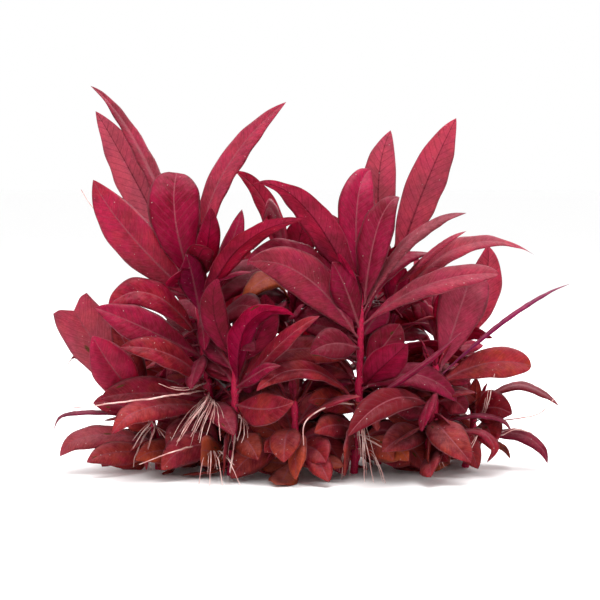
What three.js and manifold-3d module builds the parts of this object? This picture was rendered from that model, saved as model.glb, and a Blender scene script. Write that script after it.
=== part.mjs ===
// Alternanthera reineckii: a bushy red aquarium plant, cut off flat where its stems leave the ground.
// Millimetres, +Z up, the viewer stands at -Y. The bush rests on its cut stems and its lowest leaves.
import * as THREE from "three";
import Module from "manifold-3d";

const wasm = await Module();
wasm.setup();

// Where the bush is looked at from: points are given as they line up in the plane y = 0.
const eye = { distance: 900, height: 150 };

const stem = { footRadius: 2.1, topRadius: 1.3, sides: 6, nodeSpacing: 24, nodeSwell: 1.28, bow: 2.5 };
const blade = {
  thickness: 0.8, // at the midrib, near the stalk
  tipThickness: 0.45,
  stalkHalfWidth: 0.95,
  fold: 13, // degrees that each half rises from the midrib
  smallFold: 5,
  basePower: 1.15, // how slowly the blade widens from its stalk
  tipPower: 0.9, // how slowly it narrows to its tip: less on a blunt leaf, more on a long-tipped one
  lean: 0.3, // how far a leaf's top leans back towards its stem
  stalkSink: 0.6, // where a joined leaf's stalk begins, as a share of the stem's radius
};
const root = { radius: 0.42, sides: 3, rings: [0, 0.35, 0.75] };
const lineSteps = 24; // how finely the length of a leaf's or root's line is measured
const gap = 0.35; // air between a leaf that is its own piece and its stem
const clearance = { sideways: 0.5, across: 1.1 }; // added to a leaf's width and thickness when room is tested
const ownPieceWidth = 16; // a leaf this wide is a piece of its own, and a smaller one stays one with its stem
const largeRings = [0, 0.1, 0.29, 0.51, 0.73, 0.9];
const smallRings = [0, 0.26, 0.55, 0.82];
const tornRings = [0, 0.1, 0.27, 0.45, 0.62, 0.78];
const ruledRings = [0, 0.32, 0.7];
const notch = { depth: 0.05, floor: 0.9 }; // of a torn tip, as a share of the leaf, and of that depth
const groundClearance = 0.5;
const touching = 1e-4; // mm3: two solids that share less than this are clear of each other
const sliver = 0.03; // joined solids keep no detail finer than this
const shortestStep = 0.4; // how far a leaf's edges run on from ring to ring at the least

// Leaves by rule differ a little from stem to stem and from leaf to leaf, at these paces in radians.
const sway = { skirtTurn: [4, 3], skirtLength: [2, 5], turn: [5, 3], rise: [2, 5], roll: [1.7, 2.3] };
const swayed = ([perStem, perLeaf], order, i, start = 0) => Math.sin(order * perStem + i * perLeaf + start);

const up = new THREE.Vector3(0, 0, 1);
const toViewer = new THREE.Vector3(0, -1, 0);

// One leaf: where its stalk leaves the stem, a point at mid-blade and the tip as [x, y, z], its width,
// and how it faces: 0 shows the viewer its top, 90 its edge and 180 its underside.
const leaf = (at, via, tip, width, facing, more = {}) => ({ at, via, tip, width, facing, ...more });

const stems = {
  left_tall: {
    foot: [-46, -4],
    top: [-57, 2, 106],
    leaves: [
      leaf(86, [-89, -14, 119], [-106, -20, 145], 23, 20),
      leaf(94, [-65, -6, 125], [-64, 8, 148.5], 27, 10, { tipPower: 0.55 }),
      leaf(98, [-82.5, 26, 160], [-107, 22, 191.5], 17, 64),
      leaf(86, [-83.5, 32, 142], [-104.5, 36, 179], 24, 160),
      leaf(92, [-44.5, 1, 141.5], [-9.8, 0, 183.5], 16, 38),
      leaf(80, [-32, -22, 112.5], [-1, -28, 125], 18, 128),
      leaf(66, [-77, -16, 88], [-98.5, -24, 82], 20, 52),
      leaf(57, [-83, -28, 72], [-105.5, -34, 81.5], 20, 30),
      leaf(45, [-70, -32, 58], [-93.5, -40, 61], 18, 55),
      leaf(37, [-84, -22, 38], [-103.5, -26, 35], 19, 30),
      leaf(94, [-51.5, -14, 112], [-51.5, -18, 131.5], 12, 165),
      leaf(78, [-38, -12, 112], [-32.5, -14, 130], 12, 30),
      leaf(32, [-80, -34, 31.5], [-96, -42, 19.5], 15.5, 50),
      leaf(34, [-43, -26, 30], [-36, -44, 17], 14, 40),
      leaf(26, [-62, -24, 20], [-70, -36, 10], 13, 30),
      leaf(9, [-73, -30, 9], [-86, -42, 4], 15, 40),
    ],
  },
  left_inner: {
    foot: [-38, -20],
    top: [-36, -22, 60],
    leaves: [
      leaf(45, [-28, -36, 75], [-5.5, -42, 77], 20, 130),
      leaf(40, [-13, -44, 62.5], [7, -48, 77], 16, 62),
      leaf(34, [-19, -50, 30], [-6, -56, 34], 18, 28),
      leaf(54, [-22, -18, 72], [-21, -16, 88], 17, 172),
      leaf(8, [-50, -40, 9], [-53, -52, 8], 15, 30),
      leaf(42, [-21, -49, 50], [-12.5, -52, 52], 9, 50),
      leaf(56, [-46, -32, 78], [-44, -34, 96], 14, 165),
      leaf(16, [-30, -38, 14], [-24, -50, 4], 14, 30),
    ],
  },
  centre_tall: {
    foot: [24, -14],
    top: [27, -13, 92],
    leaves: [
      leaf(90, [-3, -20, 134], [-28.5, -26, 142], 22, 138, { tipPower: 1.5 }),
      leaf(68, [-1, -30, 97], [-29, -42, 104], 23, 25),
      leaf(86, [-5, -22, 115], [-29.5, -30, 110.5], 17, 68),
      leaf(89, [25.3, -4, 132], [32, 12, 150], 20, 15),
      leaf(84, [36, -18, 122], [46.5, -12, 136.5], 19, 30),
      leaf(62, [13, -34, 63], [2, -40, 58], 17, 30),
      leaf(74, [61, -27, 92.5], [96.5, -33, 98], 17, 50, { tipPower: 0.65 }),
      leaf(78, [50, -20, 113.5], [80, -24, 128.5], 11, 60),
      leaf(44, [41, -30, 54], [51, -34, 63], 19, 165),
      leaf(52, [39, -18, 62], [47, -14, 73], 18, 20),
      leaf(42, [56, -34, 46], [77.5, -42, 31], 18, 48),
      leaf(36, [0, -40, 50], [-25, -52, 39], 16, 68),
      leaf(22, [14, -36, 22], [4, -46, 18], 14, 40),
      leaf(30, [12, -27, 35], [1, -34, 34], 14, 25),
      leaf(14, [36, -30, 12], [44, -42, 4], 14, 30),
      leaf(34, [55, -46, 50], [78, -54, 69], 8, 80),
      leaf(12, [44, -38, 10], [52, -50, 3], 15, 30),
    ],
  },
  right_tall: {
    foot: [36, 14],
    top: [42, 14, 104],
    leaves: [
      leaf(102, [36, 20, 141], [42, 28, 169.5], 19, 160),
      leaf(98, [58, 10, 139], [74.5, 12, 175.5], 21, 164),
      leaf(82, [78, -2, 112], [114, -6, 107.5], 18, 58, { tipPower: 1.7 }),
      leaf(90, [65, -8, 110.5], [80, -12, 119.5], 9, 72),
    ],
  },
  right_front: {
    foot: [60, -16],
    top: [65, -17, 52],
    leaves: [
      leaf(50, [77.5, -12, 82], [82, 2, 97], 25, 12, { tipPower: 0.5 }),
      leaf(44, [92, -28, 52.2], [115, -33, 50], 18, 34, { tipPower: 0.6 }),
      leaf(33, [37, -40, 41], [12, -50, 28.5], 17, 52),
      leaf(26, [70, -40, 18], [83, -50, 3], 19, 30),
      leaf(20, [50, -36, 17], [38, -46, 9], 16, 40),
      leaf(46, [103, -27, 76.5], [134, -31, 92.5], 7, 80),
      leaf(24, [91, -22, 27], [103.5, -26, 18], 9, 85),
      leaf(30, [53, -28, 32], [42, -34, 31], 15, 25),
      leaf(32, [73, -28, 34], [82, -36, 26], 14, 30),
      leaf(20, [92, -30, 17], [91, -34, 3], 7, 70),
      leaf(10, [66, -38, 10], [72, -50, 3], 15, 30),
    ],
  },
  right_low: {
    foot: [80, 4],
    top: [84, 4, 30],
    skirtShare: 0.72, // its lowest leaves are shorter
    leaves: [
      leaf(26, [93, -14, 31], [103.5, -20, 27.5], 18, 30),
      leaf(28, [104.5, 2, 42.5], [127, -2, 31.5], 12, 75),
      leaf(16, [110, -4, 16.5], [121.5, -8, 2.5], 9, 50),
      leaf(20, [92, -20, 20], [94, -32, 8], 17, 20),
    ],
  },
  left_low: {
    foot: [-74, -2],
    top: [-80, -2, 34],
    leaves: [
      leaf(33, [-105, 4, 62.5], [-127.5, 8, 98], 26, 15, { torn: true }),
      leaf(33, [-96.5, -20, 50], [-107, -26, 67], 22, 22),
      leaf(14, [-108, -14, 16.5], [-124, -18, 6], 15, 48),
      leaf(28, [-108, 14, 56], [-120.5, 18, 50.5], 13, 60),
      leaf(8, [-96, -22, 8], [-110.5, -30, 3], 14, 40),
      leaf(26, [-117, -8, 28], [-127, -10, 18.5], 7, 80),
    ],
  },
  middle_front: {
    foot: [-8, -30],
    top: [-6, -31, 34],
    leaves: [
      leaf(22, [-10, -46, 16], [-11, -56, 3], 16, 20),
      leaf(14, [4, -42, 10], [10, -52, 3], 16, 25),
      leaf(11, [-16, -41, 12], [-21, -47, 8], 9, 30),
    ],
  },
  middle_back: {
    foot: [-10, 20],
    top: [-8, 20, 96],
    leaves: [
      leaf(92, [-18.5, 16, 130], [-35.7, 14, 149.5], 17, 132),
      leaf(84, [-19, 0, 96], [-31.5, -8, 83], 15, 60),
      leaf(54, [8, 6, 62], [25, 0, 60], 15, 15),
      leaf(90, [-15.5, 6, 128], [-21.5, 0, 124], 13, 60),
      leaf(80, [14, 26, 104], [12, 34, 128], 19, 10),
      leaf(86, [-4, 16, 113], [2, 12, 128], 15, 165),
    ],
  },
  left_back: {
    foot: [-52, 30],
    top: [-50, 32, 76],
    leaves: [
      leaf(70, [-62, 50, 98], [-74, 62, 116], 19, 25),
      leaf(50, [-42, 58, 66], [-34, 76, 62], 18, 20),
      leaf(66, [-34, 34, 90], [-30, 38, 112], 18, 15),
      leaf(34, [-78, 46, 50], [-96, 54, 52], 17, 20),
    ],
  },
  right_back: {
    foot: [58, 36],
    top: [66, 36, 74],
    leaves: [
      leaf(56, [86.5, 24, 86], [90.5, 18, 112.5], 21, 165),
      leaf(66, [62, 54, 90], [54, 64, 106], 19, 25),
      leaf(40, [76, 58, 54], [92, 76, 48], 18, 20),
      leaf(60, [40, 50, 84], [22, 56, 96], 18, 30),
    ],
  },
};

// Roots that grow from the stems' lower nodes: stem, height, mid-way point and end.
const roots = [
  ["left_tall", 40, [-82, -58, 35], [-123, -52, 30]],
  ["left_tall", 37, [-58, -26, 26], [-65, -33, 12]],
  ["left_tall", 36, [-54, -25, 22], [-58, -31, 5]],
  ["left_inner", 22, [-36, -33, 13], [-38, -37, 0]],
  ["left_inner", 19, [-31, -31, 12], [-28, -35, 0]],
  ["left_inner", 16, [-42, -30, 9], [-46, -36, 0]],
  ["centre_tall", 34, [3, -46, 28], [-1, -50, 9]],
  ["centre_tall", 27, [27, -24, 15], [29, -30, 0]],
  ["centre_tall", 25, [32, -23, 12], [36, -27, 0]],
  ["centre_tall", 20, [20, -23, 9], [17, -27, 0]],
  ["left_low", 22, [-84, -11, 12], [-86, -16, 2]],
  ["left_low", 18, [-79, -12, 9], [-78, -17, 0]],
  ["right_low", 26, [112, -20, 26], [126, -24, 38]],
  ["right_front", 20, [66, -24, 10], [70, -28, 0]],
];

// A point moved along the line of sight to its own depth, so that it stays where it lines up from the front.
function seen([x, y, z]) {
  const share = 1 + y / eye.distance;
  return new THREE.Vector3(x * share, y, eye.height + (z - eye.height) * share);
}

// A closed solid through rings of points: flat at the first ring and pointed at the end. The diagonals change
// sides, so that those of a thin leaf's top lie over those of its underside.
function solidThroughRings(rings, end) {
  const count = rings[0].length;
  const points = rings.flat();
  const faces = [];
  for (let i = 1; i < count - 1; i++) faces.push([0, i, i + 1]);
  for (let r = 0; r < rings.length - 1; r++) {
    for (let i = 0; i < count; i++) {
      const [a, b] = [r * count + i, r * count + ((i + 1) % count)];
      if (i % 2) faces.push([a, b + count, b], [a, a + count, b + count]);
      else faces.push([a, a + count, b], [b, a + count, b + count]);
    }
  }
  const last = (rings.length - 1) * count;
  points.push(end);
  for (let i = 0; i < count; i++) faces.push([last + i, points.length - 1, last + ((i + 1) % count)]);
  return toManifold(points, faces);
}

// Rings may run either way round, so the faces are turned about where they would enclose less than nothing.
function toManifold(points, faces) {
  const vertProperties = new Float32Array(points.flatMap((p) => p.toArray()));
  const build = (triVerts) => new wasm.Manifold(new wasm.Mesh({ numProp: 3, vertProperties, triVerts }));
  const made = build(new Uint32Array(faces.flat()));
  if (made.volume() > 0) return made;
  made.delete();
  return build(new Uint32Array(faces.flatMap(([a, b, c]) => [a, c, b])));
}

function toGeometry(solid) {
  const mesh = solid.getMesh();
  const geometry = new THREE.BufferGeometry();
  geometry.setAttribute("position", new THREE.BufferAttribute(new Float32Array(mesh.vertProperties), 3));
  geometry.setIndex(new THREE.BufferAttribute(new Uint32Array(mesh.triVerts), 1));
  geometry.computeVertexNormals();
  return geometry;
}

// The middle line of a stem: its height grows evenly along it, and it bows a little to one side.
function stemLine({ foot, top }) {
  const start = new THREE.Vector3(foot[0] * (1 + foot[1] / eye.distance), foot[1], 0);
  const end = seen(top);
  const middle = start.clone().add(end).multiplyScalar(0.5);
  middle.add(new THREE.Vector3(stem.bow, -stem.bow / 2, 0));
  return new THREE.QuadraticBezierCurve3(start, middle, end);
}

// A stem is swollen at each node and cut off flat at the ground.
function stemSolid(line, height) {
  const nodes = Math.max(2, Math.round(height / stem.nodeSpacing));
  const rings = [];
  for (let step = 0; step <= nodes * 2; step++) {
    const share = step / (nodes * 2);
    const swell = step % 2 ? stem.nodeSwell : 1;
    const radius = stemRadius(share) * swell;
    const centre = line.getPoint(share);
    rings.push(
      Array.from({ length: stem.sides }, (_, i) => {
        const angle = (i / stem.sides) * 2 * Math.PI;
        const out = new THREE.Vector3(Math.cos(angle), Math.sin(angle), 0);
        return centre.clone().addScaledVector(out, radius);
      }),
    );
  }
  return solidThroughRings(rings, line.getPoint(1).add(new THREE.Vector3(0, 0, stem.topRadius * 2)));
}

const stemRadius = (share) => THREE.MathUtils.lerp(stem.footRadius, stem.topRadius, share);

// Half the blade's width at a share of its length: a narrow stalk, a lance-shaped blade and an acute tip.
function halfWidth(share, { width, tipPower: b = blade.tipPower }) {
  const a = blade.basePower;
  const widest = a / (a + b);
  const most = widest ** a * (1 - widest) ** b;
  return Math.max(blade.stalkHalfWidth, ((width / 2) * share ** a * (1 - share) ** b) / most);
}

// The leaf's middle line leaves the stem, passes through its mid-blade point and ends at its tip.
function leafLine(shoot, spec, shift) {
  const share = THREE.MathUtils.clamp(spec.at / shoot.height, 0, 1);
  const centre = shoot.line.getPoint(share);
  const via = spec.via.clone().addScaledVector(shift, reach.middleShare);
  const tip = spec.tip.clone().add(shift);
  const outward = new THREE.Vector3(via.x - centre.x, via.y - centre.y, 0).normalize();
  const radius = stemRadius(share) * stem.nodeSwell;
  const start = spec.own ? radius + gap + blade.thickness / 2 : radius * blade.stalkSink;
  const base = centre.clone().addScaledVector(outward, start);
  const control = via.clone().multiplyScalar(2).addScaledVector(base, -0.5).addScaledVector(tip, -0.5);
  const line = new THREE.QuadraticBezierCurve3(base, control, tip);
  line.arcLengthDivisions = lineSteps;
  return { line, outward };
}

// The turn about its own length that makes a leaf face the viewer as asked, the shorter way round.
function rollTo(facing, tangent, natural) {
  const front = toViewer.clone().addScaledVector(tangent, -toViewer.dot(tangent)).normalize();
  const angles = [1, -1].map((sign) => {
    const top = front.clone().applyAxisAngle(tangent, sign * THREE.MathUtils.degToRad(facing));
    return Math.atan2(new THREE.Vector3().crossVectors(natural, top).dot(tangent), natural.dot(top));
  });
  return Math.abs(angles[0]) < Math.abs(angles[1]) ? angles[0] : angles[1];
}

// The rings of a leaf: its two edges and the underside of its midrib, and on large leaves the midrib's top.
function leafRings({ line, outward }, spec, extra) {
  const shares = spec.rings;
  const tangents = shares.map((share) => line.getTangentAt(share));
  let normal = up.clone().addScaledVector(outward, -blade.lean);
  const normals = tangents.map((tangent) => {
    normal = normal.clone().addScaledVector(tangent, -normal.dot(tangent)).normalize();
    return normal;
  });
  const middle = Math.floor(shares.length / 2);
  const ruled = THREE.MathUtils.degToRad(spec.roll ?? 0);
  const roll = spec.facing === undefined ? ruled : rollTo(spec.facing, tangents[middle], normals[middle]);
  const fold = THREE.MathUtils.degToRad(spec.own ? blade.fold : blade.smallFold);
  const last = shares.length - 1;
  return shares.map((share, i) => {
    const top = normals[i].clone().applyAxisAngle(tangents[i], roll);
    const side = new THREE.Vector3().crossVectors(tangents[i], top);
    const half = halfWidth(share, spec) + extra.sideways;
    const thick = THREE.MathUtils.lerp(blade.thickness, blade.tipThickness, share) / 2 + extra.across / 2;
    const centre = line.getPointAt(share);
    const edge = (sign) =>
      centre
        .clone()
        .addScaledVector(side, sign * half * Math.cos(fold))
        .addScaledVector(top, half * Math.sin(fold));
    const inner = spec.torn && i === last ? line.getPointAt(share - notch.depth) : centre;
    const keel = inner.clone().addScaledVector(top, -thick);
    if (!spec.own) return [edge(1), edge(-1), keel];
    return [edge(1), inner.clone().addScaledVector(top, thick), edge(-1), keel];
  });
}

// A leaf bent too sharply for its width would cross itself: each edge has to run on towards the tip.
function runsForward(grown, spec) {
  const rings = leafRings(grown, spec, clearance);
  return rings.slice(1).every((ring, r) => {
    const tangent = grown.line.getTangentAt((spec.rings[r] + spec.rings[r + 1]) / 2);
    return ring.every((point, i) => point.clone().sub(rings[r][i]).dot(tangent) > shortestStep);
  });
}

function leafSolid(grown, spec, extra = { sideways: 0, across: 0 }) {
  const rings = leafRings(grown, spec, extra);
  const share = spec.torn ? tornRings.at(-1) - notch.depth * notch.floor : 1;
  return solidThroughRings(rings, grown.line.getPointAt(share));
}

function rootSolid(line, extra = 0) {
  const shares = root.rings;
  const rings = shares.map((share) => {
    const tangent = line.getTangentAt(share);
    const side = new THREE.Vector3().crossVectors(tangent, toViewer).normalize();
    const other = new THREE.Vector3().crossVectors(tangent, side);
    return Array.from({ length: root.sides }, (_, i) => {
      const angle = (i / root.sides) * 2 * Math.PI;
      return line
        .getPointAt(share)
        .addScaledVector(side, Math.cos(angle) * (root.radius + extra))
        .addScaledVector(other, Math.sin(angle) * (root.radius + extra));
    });
  });
  return solidThroughRings(rings, line.getPointAt(1));
}

const placed = []; // every solid so far, with the stem that it grows from

function boxOf(solid) {
  const { min, max } = solid.boundingBox();
  return new THREE.Box3(new THREE.Vector3(...min), new THREE.Vector3(...max));
}

// Room means clear of all solids so far, though a leaf that stays one with its stem may reach into it.
function hasRoom(roomy, snug, shoot, fused) {
  const box = boxOf(roomy);
  if (boxOf(snug).min.z < groundClearance) return false;
  return placed.every((other) => {
    if (!box.intersectsBox(other.box)) return true;
    const ownStem = other.solid === shoot.solid;
    if (ownStem && fused) return true;
    const common = (ownStem ? snug : roomy).intersect(other.solid);
    const clear = common.isEmpty() || common.volume() < touching;
    common.delete();
    return clear;
  });
}

// Small moves of the tip to try, nearest first: a leaf goes forward, back or aside until it clears the others.
const reach = { depth: 24, aside: 8, step: 4, asideCost: 3, middleShare: 0.55 };

function movesToTry() {
  const moves = [];
  for (let y = -reach.depth; y <= reach.depth; y += reach.step) {
    for (let x = -reach.aside; x <= reach.aside; x += reach.step) {
      for (let z = -reach.aside; z <= reach.aside; z += reach.step) moves.push(new THREE.Vector3(x, y, z));
    }
  }
  const cost = ({ x, y, z }) => Math.abs(y) + reach.asideCost * Math.hypot(x, z);
  return moves.sort((a, b) => cost(a) - cost(b));
}

const moves = movesToTry();

// The first of the moves with which the solid made by shape has room beside what is placed already.
function settle(shoot, fused, shape) {
  for (const move of moves) {
    const [roomy, snug] = shape(move) ?? [];
    if (!snug) continue;
    const fits = hasRoom(roomy, snug, shoot, fused);
    roomy.delete();
    if (fits) {
      placed.push({ solid: snug, box: boxOf(snug) });
      return snug;
    }
    snug.delete();
  }
  return null;
}

// Small leaves and roots stay one with their stem, and large leaves are pieces of their own.
const growLeaf = (shoot, spec) =>
  settle(shoot, !spec.own, (move) => {
    const grown = leafLine(shoot, spec, move);
    return runsForward(grown, spec) ? [leafSolid(grown, spec, clearance), leafSolid(grown, spec)] : null;
  });

const growRoot = (shoot, at, via, end) =>
  settle(shoot, true, (move) => {
    const centre = shoot.line.getPoint(at / shoot.height);
    const tip = seen(end).add(move);
    tip.z = Math.max(tip.z, groundClearance + root.radius * 2);
    const middle = seen(via).addScaledVector(move, reach.middleShare);
    const control = middle.multiplyScalar(2).addScaledVector(centre, -0.5).addScaledVector(tip, -0.5);
    const line = new THREE.QuadraticBezierCurve3(centre, control, tip);
    line.arcLengthDivisions = lineSteps;
    return [rootSolid(line, clearance.sideways), rootSolid(line)];
  });

// The oldest leaves hang from the lowest nodes and touch the ground, at these headings in degrees.
const skirt = {
  at: 9,
  nodeStep: 3, // leaves take turns at three heights this far apart
  length: 33,
  lengthSpread: 0.15,
  width: 16,
  drop: 6, // how far the blade arches above its stalk's start
  middleShare: 0.52,
  facing: 32,
  headings: [-145, -90, -35, 35, 145],
  headingSpread: 11,
  tipHeights: [2, 4],
};

function skirtLeaves(shoot, order) {
  return skirt.headings.map((angle, i) => {
    const swing = THREE.MathUtils.degToRad(angle + skirt.headingSpread * swayed(sway.skirtTurn, order, i));
    const heading = new THREE.Vector3(Math.cos(swing), Math.sin(swing), 0);
    const at = skirt.at + (i % 3) * skirt.nodeStep;
    const spread = 1 + skirt.lengthSpread * swayed(sway.skirtLength, order, i);
    const length = skirt.length * shoot.skirtShare * spread;
    const centre = shoot.line.getPoint(at / shoot.height);
    const out = (far, height) => centre.clone().addScaledVector(heading, far).setZ(height);
    return {
      at,
      via: out(length * skirt.middleShare, at + skirt.drop),
      tip: out(length, skirt.tipHeights[i % 2]),
      width: skirt.width,
      facing: heading.y < 0 ? skirt.facing : undefined,
      rings: ruledRings,
    };
  });
}

// Leaves by rule, in crossed pairs, where the stem's nodes have room beside the leaves listed above.
const filling = {
  spacing: 15, // from node to node, down from just below the tip
  belowTip: 5,
  lowest: 25.5,
  shortest: 42,
  longest: 62,
  fittings: [1, 0.85, 0.7], // shares of the length to try where the bush leaves no more room
  widthShare: 0.32,
  heading: 28, // degrees
  headingPerStem: 37,
  headingSpread: 14,
  oldAt: 100, // how far below this height a leaf leaves its stem is its age
  longestAt: { first: 0.3, later: 0.55 }, // leaves are longest a little below the top
  youngRise: 56, // degrees above level at the stem's tip, and less on older leaves
  riseLostByAge: 60,
  riseSpread: 6,
  archUp: 0.32, // radians from the leaf's rise up to mid-blade
  archDown: 0.14, // and down to its tip
  tipShare: 0.95,
  roll: 38,
};
const bush = { centre: [-4, 8], halfSize: [114, 76, 136] }; // a dome that these leaves stay within

const insideBush = ({ x, y, z }) => {
  const { centre, halfSize } = bush;
  return Math.hypot((x - centre[0]) / halfSize[0], (y - centre[1]) / halfSize[1], z / halfSize[2]) < 1;
};

function ruledLeaves(shoot, order) {
  const specs = [];
  const heightOf = (node) => shoot.height - filling.belowTip - node * filling.spacing;
  for (let node = 0; heightOf(node) > filling.lowest; node++) {
    const at = heightOf(node);
    for (const side of [0, 180]) {
      const turned = filling.heading + order * filling.headingPerStem + node * 90 + side;
      const swing = THREE.MathUtils.degToRad(turned + filling.headingSpread * swayed(sway.turn, order, node));
      const heading = new THREE.Vector3(Math.cos(swing), Math.sin(swing), 0);
      const age = 1 - at / filling.oldAt;
      const growth = Math.sin(Math.PI * (filling.longestAt.first + filling.longestAt.later * age));
      const length = THREE.MathUtils.lerp(filling.shortest, filling.longest, growth);
      const slope = filling.youngRise - filling.riseLostByAge * age;
      const rise = THREE.MathUtils.degToRad(slope + filling.riseSpread * swayed(sway.rise, order, node));
      const centre = shoot.line.getPoint(at / shoot.height);
      const along = (angle, far) => {
        const level = centre.clone().addScaledVector(heading, Math.cos(angle) * far);
        return level.addScaledVector(up, Math.sin(angle) * far);
      };
      const lengths = filling.fittings.map((share) => share * length);
      const fitting = lengths.find((far) => insideBush(along(rise - filling.archDown, far)));
      if (!fitting) continue;
      specs.push({
        at,
        via: along(rise + filling.archUp, fitting / 2),
        tip: along(rise - filling.archDown, fitting * filling.tipShare),
        width: fitting * filling.widthShare,
        roll: filling.roll * swayed(sway.roll, order, node, side),
        rings: ruledRings,
      });
    }
  }
  return specs;
}

// The youngest leaves stand close together at the tip of each stem, in crossed pairs.
const bud = {
  pairs: [
    { below: 0.5, length: 16 },
    { below: 3.5, length: 24 },
  ],
  heading: 45, // degrees
  headingPerStem: 31,
  middle: { out: 0.28, up: 0.5 }, // as shares of the length
  end: { out: 0.5, up: 0.88 },
  widthShare: 0.26,
};

function tipLeaves(shoot, order) {
  return bud.pairs.flatMap(({ below, length }, pair) => {
    const at = shoot.height - below;
    const centre = shoot.line.getPoint(at / shoot.height);
    return [0, 180].map((side) => {
      const swing = THREE.MathUtils.degToRad(side + pair * 90 + bud.heading + order * bud.headingPerStem);
      const heading = new THREE.Vector3(Math.cos(swing), Math.sin(swing), 0);
      const reached = (share) =>
        centre.clone().addScaledVector(heading, length * share.out).addScaledVector(up, length * share.up);
      return {
        at,
        via: reached(bud.middle),
        tip: reached(bud.end),
        width: length * bud.widthShare,
        rings: ruledRings,
      };
    });
  });
}

const colours = { stem: 0x8a1230, youngLeaf: 0x9c1f3e, oldLeaf: 0x84301f };
const finish = (color) => new THREE.MeshStandardMaterial({ color, roughness: 0.5, metalness: 0 });
const oldLeafHeight = 36; // leaves that leave their stem below this are the older, browner ones

const plant = new THREE.Group();
const shoots = Object.entries(stems).map(([name, { foot, top, leaves, skirtShare = 1 }]) => {
  const line = stemLine({ foot, top });
  const solid = stemSolid(line, top[2]);
  placed.push({ solid, box: boxOf(solid) });
  return { name, line, height: top[2], solid, fused: [], leaves, skirtShare };
});

const pieces = [];
for (const shoot of shoots) {
  shoot.leaves.forEach((listed, i) => {
    const own = listed.width >= ownPieceWidth;
    const ownRings = listed.torn ? tornRings : largeRings;
    const rings = own ? ownRings : smallRings;
    const spec = { ...listed, via: seen(listed.via), tip: seen(listed.tip), own, rings };
    const solid = growLeaf(shoot, spec);
    if (!solid) {
      throw new Error(`no room for leaf ${i + 1} of ${shoot.name}`);
    }
    const colour = spec.at < oldLeafHeight ? colours.oldLeaf : colours.youngLeaf;
    if (own) pieces.push({ name: `leaf_${shoot.name}_${i + 1}`, solid, colour });
    else shoot.fused.push(solid);
  });
}
for (const [name, at, via, end] of roots) {
  const shoot = shoots.find((s) => s.name === name);
  const solid = growRoot(shoot, at, via, end);
  if (!solid) throw new Error(`no room for a root of ${name}`);
  shoot.fused.push(solid);
}
shoots.forEach((shoot, order) => {
  const more = [...tipLeaves(shoot, order), ...skirtLeaves(shoot, order), ...ruledLeaves(shoot, order)];
  for (const spec of more) {
    const solid = growLeaf(shoot, spec);
    if (solid) shoot.fused.push(solid);
  }
});

// Stalks that meet at a stem's tip may close in a little air, so only the outer shell is kept.
for (const shoot of shoots) {
  const joined = wasm.Manifold.union([...shoot.fused, shoot.solid]).simplify(sliver);
  const [solid] = joined.decompose().sort((a, b) => b.volume() - a.volume());
  pieces.push({ name: `stem_${shoot.name}`, solid, colour: colours.stem });
}

// The origin is in the middle of the bush's footprint, at the ground.
const whole = pieces.reduce((box, { solid }) => box.union(boxOf(solid)), new THREE.Box3());
const middle = whole.getCenter(new THREE.Vector3());
for (const { name, solid, colour } of pieces) {
  const mesh = new THREE.Mesh(toGeometry(solid), finish(colour));
  mesh.name = name;
  plant.add(mesh);
}
plant.position.set(-middle.x, -middle.y, 0);

export default plant;
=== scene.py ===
# A bushy red aquarium plant, cut off flat at the ground: crimson upper leaves that glow where light comes
# through them, browner old leaves below, red stems with swollen nodes and pale roots.
import math
import random
from functools import partialmethod

import bpy
import numpy as np
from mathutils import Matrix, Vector


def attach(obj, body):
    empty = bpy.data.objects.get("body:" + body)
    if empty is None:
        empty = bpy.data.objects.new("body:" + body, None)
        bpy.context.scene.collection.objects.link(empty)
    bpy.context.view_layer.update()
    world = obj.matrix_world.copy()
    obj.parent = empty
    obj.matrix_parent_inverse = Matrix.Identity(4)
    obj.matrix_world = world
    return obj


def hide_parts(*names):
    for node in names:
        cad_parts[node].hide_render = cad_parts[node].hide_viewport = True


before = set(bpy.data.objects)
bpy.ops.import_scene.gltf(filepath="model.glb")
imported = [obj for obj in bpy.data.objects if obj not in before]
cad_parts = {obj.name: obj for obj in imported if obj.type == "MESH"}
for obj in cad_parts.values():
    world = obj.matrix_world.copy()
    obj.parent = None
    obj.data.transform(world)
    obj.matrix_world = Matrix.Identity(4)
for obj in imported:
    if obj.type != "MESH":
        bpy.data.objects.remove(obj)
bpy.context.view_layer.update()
mm = 0.001

# camera and light
view = {"stand": (-0.0011, -0.901, 0.150), "aim": (-0.0041, -0.001, 0.085), "lens": 108.3, "nearest": 0.01,
        "farthest": 50.0}
light = {"sky": 1.0, "size": 0.7, "aim": (0, 0, 0.1)}
lamps = {  # place, power and colour
    "topLight": ((0.05, -0.05, 0.85), 10.0, (1.0, 0.97, 0.97)),
    "frontLight": ((-0.5, -0.9, 0.55), 2.2, (1.0, 0.98, 0.96)),
    "backLight": ((0.3, 0.9, 0.5), 4.0, (1.0, 0.98, 0.98)),
}


def aimed(name, content, place, aim):  # a camera or a lamp, turned to what it aims at
    holder = bpy.data.objects.new(name, content)
    holder.location = place
    holder.rotation_mode = "QUATERNION"
    holder.rotation_quaternion = (Vector(aim) - Vector(place)).to_track_quat("-Z", "Y")
    bpy.context.scene.collection.objects.link(holder)
    return holder


def areaLight(name, place, power, colour):
    lamp = bpy.data.lights.new(name, "AREA")
    lamp.energy = power
    lamp.shape = "DISK"
    lamp.size = light["size"]
    lamp.color = colour
    aimed(name, lamp, place, light["aim"])


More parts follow.
